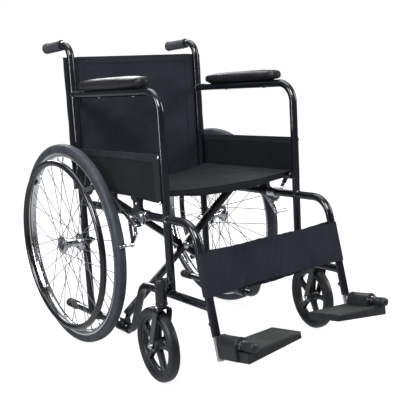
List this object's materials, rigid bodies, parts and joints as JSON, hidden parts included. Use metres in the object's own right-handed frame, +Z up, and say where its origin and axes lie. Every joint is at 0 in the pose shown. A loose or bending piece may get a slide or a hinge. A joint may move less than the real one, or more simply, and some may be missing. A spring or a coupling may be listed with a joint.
{
  "type": "manual wheelchair",
  "caption": "Folding manual wheelchair: black tube frame, scissor brace, spoked rear wheels with hand rims, swivel casters, sling seat and back, armrests, flip-up footplates, toggle brakes.",
  "frame": {"origin": "on the floor, under the centre of the chair's bounding box", "axes": "+X towards the sitter's left, -Y towards the front, +Z up"},
  "size_m": [0.6496, 1.0812, 0.9138],
  "materials": {
    "frame_paint": "gloss black powder coat",
    "grip_rubber": "matt moulded",
    "armrest_pad": "glossy soft skin over foam",
    "guard_fabric": "coated nylon",
    "tyre": "solid grey-black tyre",
    "rim_chrome": "bright plated",
    "hardware_chrome": "plated",
    "black_plastic": "moulded",
    "sling_fabric": "woven nylon upholstery"
  },
  "bodies": {
    "frame_right": {"right_back_post": "frame_paint", "right_arm_tube": "frame_paint", "right_side_rail": "frame_paint", "right_footrest_hanger": "frame_paint", "right_lower_rail": "frame_paint", "right_caster_housing": "frame_paint", "right_seat_saddle": "black_plastic", "right_skirt_guard": "guard_fabric", "right_push_grip": "grip_rubber", "right_tipping_lever_cap": "grip_rubber", "right_armrest_pad": "armrest_pad", "right_rear_axle": "hardware_chrome", "right_brake_clamp": "hardware_chrome", "back_sling": "sling_fabric", "calf_strap": "sling_fabric"},
    "frame_left": {"left_back_post": "frame_paint", "left_arm_tube": "frame_paint", "left_side_rail": "frame_paint", "left_footrest_hanger": "frame_paint", "left_lower_rail": "frame_paint", "left_caster_housing": "frame_paint", "left_seat_saddle": "black_plastic", "left_skirt_guard": "guard_fabric", "left_push_grip": "grip_rubber", "left_tipping_lever_cap": "grip_rubber", "left_armrest_pad": "armrest_pad", "left_rear_axle": "hardware_chrome", "left_brake_clamp": "hardware_chrome"},
    "brace_a": {"cross_brace_a": "frame_paint", "cross_bolt": "hardware_chrome", "seat_sling": "sling_fabric"},
    "brace_b": {"cross_brace_b": "frame_paint"},
    "right_rear_wheel": {"right_tyre": "tyre", "right_wheel_rim": "rim_chrome", "right_wheel_hub": "rim_chrome", "right_hand_rim": "frame_paint"},
    "right_caster_swivel_fork": {"right_caster_fork": "frame_paint"},
    "right_caster_roller": {"right_caster_wheel": "black_plastic", "right_caster_tyre": "tyre"},
    "right_footrest": {"right_footrest_tube": "hardware_chrome", "right_footrest_knob": "grip_rubber"},
    "right_footplate_bearing": {"right_footplate_bush": "hardware_chrome"},
    "right_footplate_body": {"right_footplate": "black_plastic"},
    "right_brake_lever_body": {"right_brake_lever": "hardware_chrome"},
    "right_brake_shoe_arm": {"right_brake_shoe": "hardware_chrome"},
    "right_brake_link_body": {"right_brake_link": "hardware_chrome"},
    "left_rear_wheel": {"left_tyre": "tyre", "left_wheel_rim": "rim_chrome", "left_wheel_hub": "rim_chrome", "left_hand_rim": "frame_paint"},
    "left_caster_swivel_fork": {"left_caster_fork": "frame_paint"},
    "left_caster_roller": {"left_caster_wheel": "black_plastic", "left_caster_tyre": "tyre"},
    "left_footrest": {"left_footrest_tube": "hardware_chrome", "left_footrest_knob": "grip_rubber"},
    "left_footplate_bearing": {"left_footplate_bush": "hardware_chrome"},
    "left_footplate_body": {"left_footplate": "black_plastic"},
    "left_brake_lever_body": {"left_brake_lever": "hardware_chrome"},
    "left_brake_shoe_arm": {"left_brake_shoe": "hardware_chrome"},
    "left_brake_link_body": {"left_brake_link": "hardware_chrome"}
  },
  "joints": [
    {"name": "fold", "type": "hinge", "parent": "frame_right", "child": "brace_a", "pos_m": [-0.232, 0.053, 0.075], "axis": [0, -1, 0], "range_deg": [0, 37.5], "deforming": ["seat_sling", "back_sling", "calf_strap"]},
    {"name": "cross_scissor", "type": "hinge", "parent": "brace_a", "child": "brace_b", "pos_m": [0, 0.053, 0.2775], "axis": [0, -1, 0], "range_deg": [-75, 0]},
    {"name": "left_frame_hinge", "type": "hinge", "parent": "brace_b", "child": "frame_left", "pos_m": [0.232, 0.053, 0.075], "axis": [0, -1, 0], "range_deg": [0, 37.5]},
    {"name": "right_wheel_spin", "type": "hinge", "parent": "frame_right", "child": "right_rear_wheel", "pos_m": [-0.283, 0.236, 0.30406], "axis": [1, 0, 0], "continuous": true},
    {"name": "right_caster_swivel", "type": "hinge", "parent": "frame_right", "child": "right_caster_swivel_fork", "pos_m": [-0.284, -0.244, 0.2], "axis": [0, 0, 1], "continuous": true},
    {"name": "right_caster_spin", "type": "hinge", "parent": "right_caster_swivel_fork", "child": "right_caster_roller", "pos_m": [-0.28024, -0.2082, 0.09952], "axis": [0.9945, -0.1045, 0], "continuous": true},
    {"name": "right_footrest_height", "type": "slide", "parent": "frame_right", "child": "right_footrest", "axis": [0, -0.225, -0.9744], "range_m": [0, 0.05]},
    {"name": "right_footplate_fold_turn", "type": "hinge", "parent": "right_footrest", "child": "right_footplate_bearing", "pos_m": [-0.232, -0.39964, 0.144], "axis": [0, -0.9903, 0.1392], "range_deg": [0, 95.5]},
    {"name": "right_footplate_flip", "type": "hinge", "parent": "right_footplate_bearing", "child": "right_footplate_body", "pos_m": [-0.232, -0.39964, 0.144], "axis": [0, 0.9903, -0.1392], "range_deg": [-87.5, 0]},
    {"name": "right_brake", "type": "hinge", "parent": "frame_right", "child": "right_brake_lever_body", "pos_m": [-0.2587, -0.102, 0.396], "axis": [1, 0, 0], "range_deg": [0, 91.5]},
    {"name": "right_brake_shoe_turn", "type": "hinge", "parent": "frame_right", "child": "right_brake_shoe_arm", "pos_m": [-0.2587, -0.064, 0.402], "axis": [1, 0, 0], "range_deg": [-35, 0]},
    {"name": "right_brake_link_turn", "type": "hinge", "parent": "right_brake_shoe_arm", "child": "right_brake_link_body", "pos_m": [-0.2587, -0.07306, 0.34066], "axis": [1, 0, 0], "range_deg": [-35.1, 0]},
    {"name": "left_wheel_spin", "type": "hinge", "parent": "frame_left", "child": "left_rear_wheel", "pos_m": [0.283, 0.236, 0.30406], "axis": [1, 0, 0], "continuous": true},
    {"name": "left_caster_swivel", "type": "hinge", "parent": "frame_left", "child": "left_caster_swivel_fork", "pos_m": [0.284, -0.244, 0.2], "axis": [0, 0, 1], "continuous": true},
    {"name": "left_caster_spin", "type": "hinge", "parent": "left_caster_swivel_fork", "child": "left_caster_roller", "pos_m": [0.29148, -0.20879, 0.09952], "axis": [0.9781, -0.2079, 0], "continuous": true},
    {"name": "left_footrest_height", "type": "slide", "parent": "frame_left", "child": "left_footrest", "axis": [0, -0.225, -0.9744], "range_m": [0, 0.05]},
    {"name": "left_footplate_fold_turn", "type": "hinge", "parent": "left_footrest", "child": "left_footplate_bearing", "pos_m": [0.232, -0.39964, 0.144], "axis": [0, 0.9903, -0.1392], "range_deg": [0, 93]},
    {"name": "left_footplate_flip", "type": "hinge", "parent": "left_footplate_bearing", "child": "left_footplate_body", "pos_m": [0.232, -0.39964, 0.144], "axis": [0, -0.9903, 0.1392], "range_deg": [-85, 0]},
    {"name": "left_brake", "type": "hinge", "parent": "frame_left", "child": "left_brake_lever_body", "pos_m": [0.2587, -0.102, 0.396], "axis": [1, 0, 0], "range_deg": [-91.5, 0]},
    {"name": "left_brake_shoe_turn", "type": "hinge", "parent": "frame_left", "child": "left_brake_shoe_arm", "pos_m": [0.2587, -0.064, 0.402], "axis": [1, 0, 0], "range_deg": [0, 35]},
    {"name": "left_brake_link_turn", "type": "hinge", "parent": "left_brake_shoe_arm", "child": "left_brake_link_body", "pos_m": [0.2587, -0.1066, 0.35695], "axis": [1, 0, 0], "range_deg": [0, 35.1]}
  ],
  "couplings": [
    {"joint": "cross_scissor", "follows": "fold", "ratio": -2},
    {"joint": "left_frame_hinge", "follows": "fold", "ratio": 1},
    {"joint": "right_footplate_fold_turn", "follows": "fold", "ratio": 2.5467},
    {"joint": "right_brake_shoe_turn", "follows": "right_brake", "ratio": -0.38251},
    {"joint": "right_brake_link_turn", "follows": "right_brake", "ratio": -0.38361},
    {"joint": "left_footplate_fold_turn", "follows": "fold", "ratio": 2.48},
    {"joint": "left_brake_shoe_turn", "follows": "left_brake", "ratio": -0.38251},
    {"joint": "left_brake_link_turn", "follows": "left_brake", "ratio": -0.38361}
  ]
}
